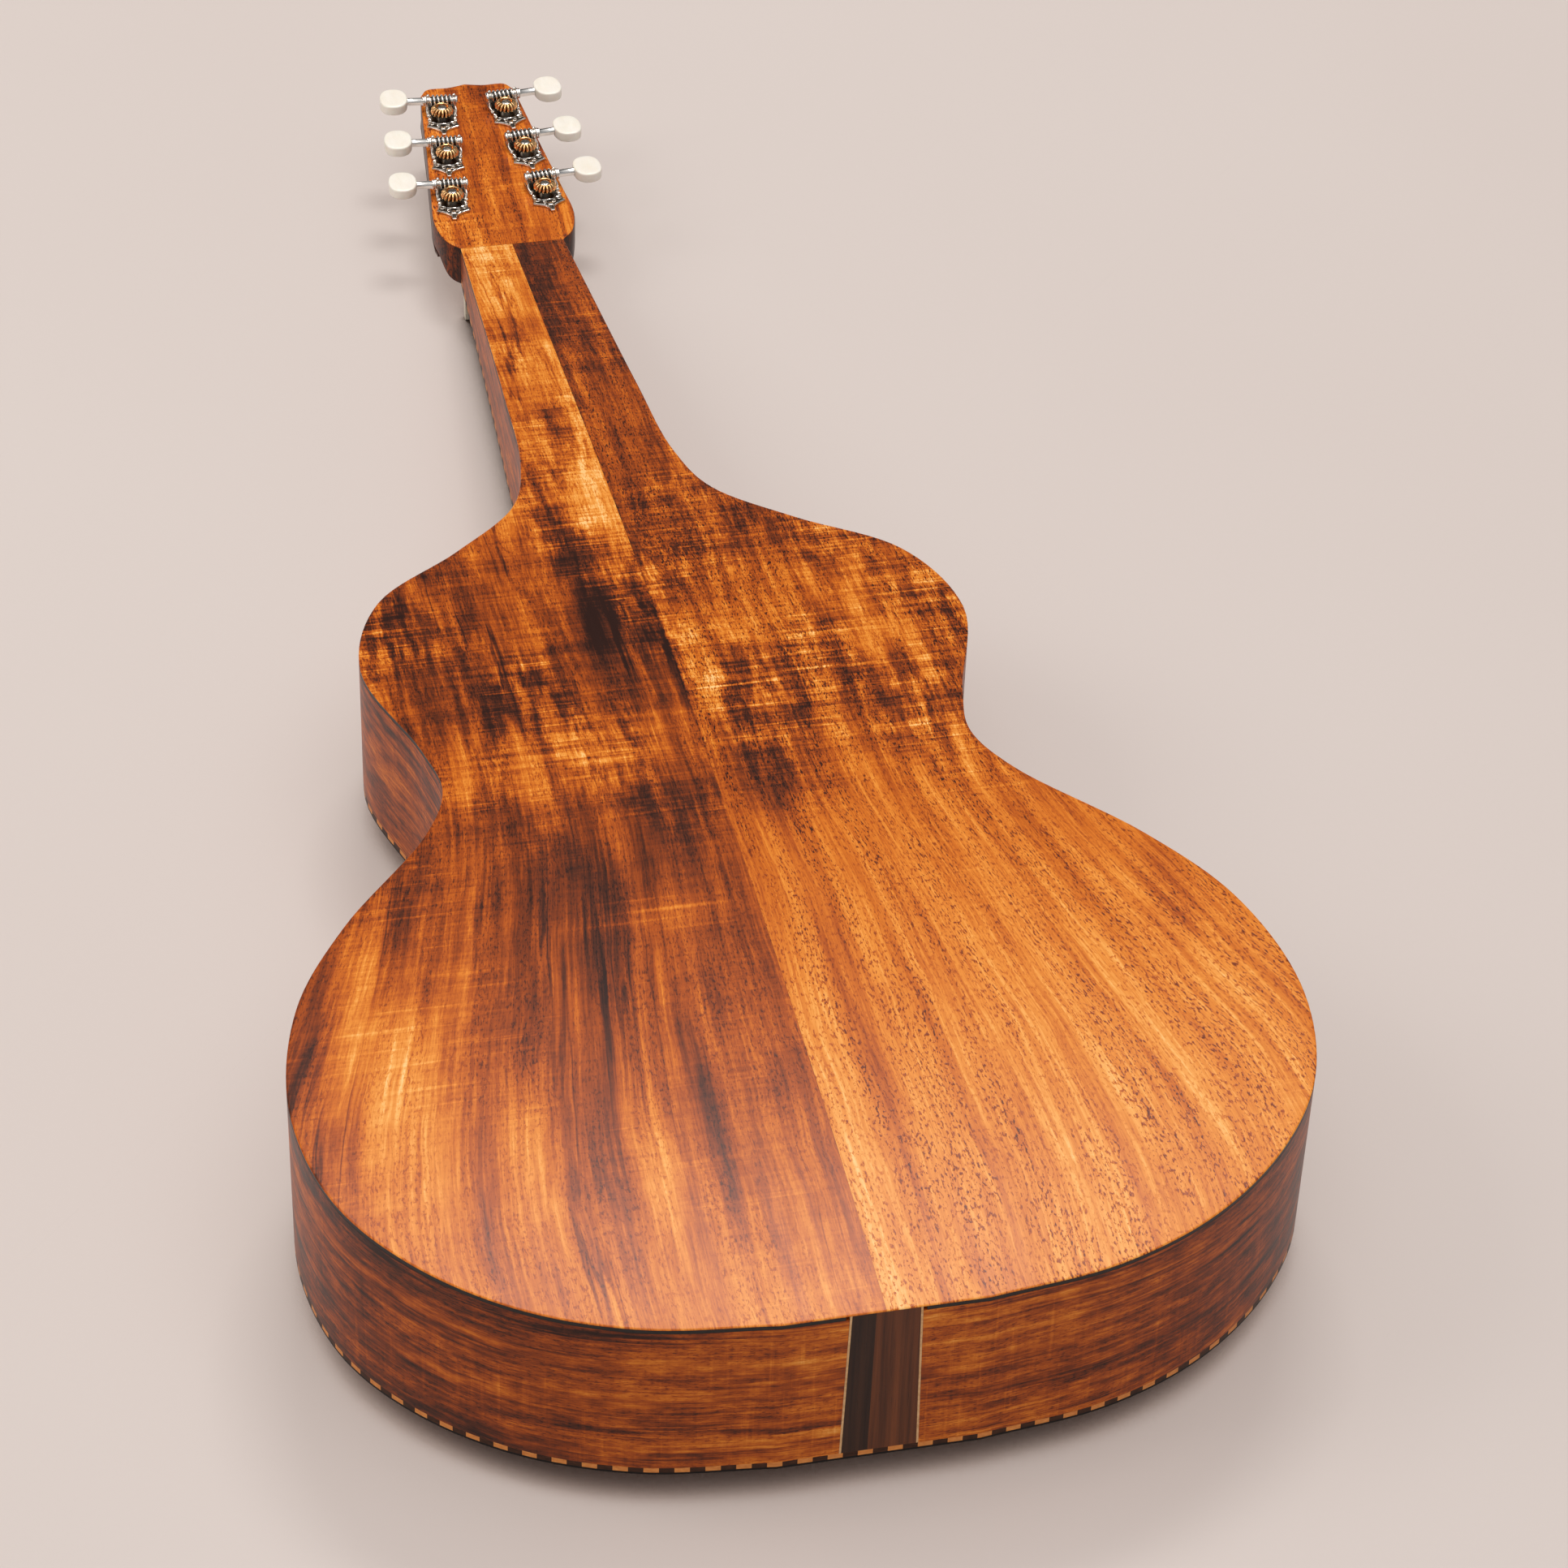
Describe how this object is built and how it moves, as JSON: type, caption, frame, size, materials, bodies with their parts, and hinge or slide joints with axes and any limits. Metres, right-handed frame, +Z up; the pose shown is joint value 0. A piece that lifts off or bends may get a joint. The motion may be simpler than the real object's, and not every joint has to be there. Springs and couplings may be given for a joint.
{
  "type": "lap steel guitar",
  "caption": "Hollow-neck acoustic lap steel guitar with an arched figured back, rope-pattern binding and open geared tuners, lying face down on its saddle and nut.",
  "frame": {"origin": "on the surface that the face-down instrument rests on, below the middle of its length and width", "axes": "+Y from the tail to the headstock, +X towards the bass strings, +Z up through the back"},
  "size_m": [0.388, 0.935, 0.0966],
  "materials": {
    "koa_top": "gloss",
    "koa_back_red": "gloss",
    "koa_back_gold": "gloss",
    "koa_side": "gloss",
    "koa_head": "satin",
    "rosewood": "satin",
    "rope_binding": "satin",
    "inner_wood": "matte",
    "bone": "satin",
    "plain_steel": "polished",
    "wound_bronze": "polished",
    "nickel": "polished",
    "bronze": "polished",
    "cream": "satin"
  },
  "bodies": {
    "body": {"soundboard": "koa_top", "back_treble_half": "koa_back_red", "back_bass_half": "koa_back_gold", "side_treble": "koa_side", "side_bass": "koa_side", "tail_wedge": "rosewood", "binding": "rope_binding", "top_lining": "inner_wood", "back_lining": "inner_wood", "tail_block": "inner_wood", "top_bracing": "inner_wood", "back_bracing": "inner_wood", "headstock": "koa_head", "head_veneer": "rosewood", "fingerboard": "rosewood", "nut": "bone", "bridge": "rosewood", "saddle": "bone", "bridge_pin_1": "rosewood", "bridge_pin_2": "rosewood", "bridge_pin_3": "rosewood", "bridge_pin_4": "rosewood", "bridge_pin_5": "rosewood", "bridge_pin_6": "rosewood", "string_1": "plain_steel", "string_2": "plain_steel", "string_3": "wound_bronze", "string_4": "wound_bronze", "string_5": "wound_bronze", "string_6": "wound_bronze", "treble_tuner_1_plate": "nickel", "treble_tuner_2_plate": "nickel", "treble_tuner_3_plate": "nickel", "bass_tuner_1_plate": "nickel", "bass_tuner_2_plate": "nickel", "bass_tuner_3_plate": "nickel"},
    "treble_tuner_1_key": {"treble_tuner_1_worm": "nickel", "treble_tuner_1_button": "cream"},
    "treble_tuner_1_capstan": {"treble_tuner_1_gear": "bronze", "treble_tuner_1_post": "nickel"},
    "treble_tuner_2_key": {"treble_tuner_2_worm": "nickel", "treble_tuner_2_button": "cream"},
    "treble_tuner_2_capstan": {"treble_tuner_2_gear": "bronze", "treble_tuner_2_post": "nickel"},
    "treble_tuner_3_key": {"treble_tuner_3_worm": "nickel", "treble_tuner_3_button": "cream"},
    "treble_tuner_3_capstan": {"treble_tuner_3_gear": "bronze", "treble_tuner_3_post": "nickel"},
    "bass_tuner_1_key": {"bass_tuner_1_worm": "nickel", "bass_tuner_1_button": "cream"},
    "bass_tuner_1_capstan": {"bass_tuner_1_gear": "bronze", "bass_tuner_1_post": "nickel"},
    "bass_tuner_2_key": {"bass_tuner_2_worm": "nickel", "bass_tuner_2_button": "cream"},
    "bass_tuner_2_capstan": {"bass_tuner_2_gear": "bronze", "bass_tuner_2_post": "nickel"},
    "bass_tuner_3_key": {"bass_tuner_3_worm": "nickel", "bass_tuner_3_button": "cream"},
    "bass_tuner_3_capstan": {"bass_tuner_3_gear": "bronze", "bass_tuner_3_post": "nickel"}
  },
  "joints": [
    {"name": "treble_tuner_1_key_turn", "type": "hinge", "parent": "body", "child": "treble_tuner_1_key", "pos_m": [-0.02244, 0.36947, 0.04504], "axis": [-0.9959, 0.0906, 0.0032], "continuous": true},
    {"name": "treble_tuner_1_post_turn", "type": "hinge", "parent": "body", "child": "treble_tuner_1_capstan", "pos_m": [-0.0232, 0.36111, 0.04475], "axis": [0, -0.0349, 0.9994], "continuous": true},
    {"name": "treble_tuner_2_key_turn", "type": "hinge", "parent": "body", "child": "treble_tuner_2_key", "pos_m": [-0.01904, 0.40707, 0.04635], "axis": [-0.9959, 0.0906, 0.0032], "continuous": true},
    {"name": "treble_tuner_2_post_turn", "type": "hinge", "parent": "body", "child": "treble_tuner_2_capstan", "pos_m": [-0.0198, 0.39871, 0.04606], "axis": [0, -0.0349, 0.9994], "continuous": true},
    {"name": "treble_tuner_3_key_turn", "type": "hinge", "parent": "body", "child": "treble_tuner_3_key", "pos_m": [-0.01564, 0.44467, 0.04767], "axis": [-0.9959, 0.0906, 0.0032], "continuous": true},
    {"name": "treble_tuner_3_post_turn", "type": "hinge", "parent": "body", "child": "treble_tuner_3_capstan", "pos_m": [-0.0164, 0.43631, 0.04738], "axis": [0, -0.0349, 0.9994], "continuous": true},
    {"name": "bass_tuner_1_key_turn", "type": "hinge", "parent": "body", "child": "bass_tuner_1_key", "pos_m": [0.02244, 0.36947, 0.04504], "axis": [0.9959, 0.0906, 0.0032], "continuous": true},
    {"name": "bass_tuner_1_post_turn", "type": "hinge", "parent": "body", "child": "bass_tuner_1_capstan", "pos_m": [0.0232, 0.36111, 0.04475], "axis": [0, -0.0349, 0.9994], "continuous": true},
    {"name": "bass_tuner_2_key_turn", "type": "hinge", "parent": "body", "child": "bass_tuner_2_key", "pos_m": [0.01904, 0.40707, 0.04635], "axis": [0.9959, 0.0906, 0.0032], "continuous": true},
    {"name": "bass_tuner_2_post_turn", "type": "hinge", "parent": "body", "child": "bass_tuner_2_capstan", "pos_m": [0.0198, 0.39871, 0.04606], "axis": [0, -0.0349, 0.9994], "continuous": true},
    {"name": "bass_tuner_3_key_turn", "type": "hinge", "parent": "body", "child": "bass_tuner_3_key", "pos_m": [0.01564, 0.44467, 0.04767], "axis": [0.9959, 0.0906, 0.0032], "continuous": true},
    {"name": "bass_tuner_3_post_turn", "type": "hinge", "parent": "body", "child": "bass_tuner_3_capstan", "pos_m": [0.0164, 0.43631, 0.04738], "axis": [0, -0.0349, 0.9994], "continuous": true}
  ],
  "couplings": [
    {"joint": "treble_tuner_1_post_turn", "follows": "treble_tuner_1_key_turn", "ratio": -0.0625},
    {"joint": "treble_tuner_2_post_turn", "follows": "treble_tuner_2_key_turn", "ratio": -0.0625},
    {"joint": "treble_tuner_3_post_turn", "follows": "treble_tuner_3_key_turn", "ratio": -0.0625},
    {"joint": "bass_tuner_1_post_turn", "follows": "bass_tuner_1_key_turn", "ratio": 0.0625},
    {"joint": "bass_tuner_2_post_turn", "follows": "bass_tuner_2_key_turn", "ratio": 0.0625},
    {"joint": "bass_tuner_3_post_turn", "follows": "bass_tuner_3_key_turn", "ratio": 0.0625}
  ]
}
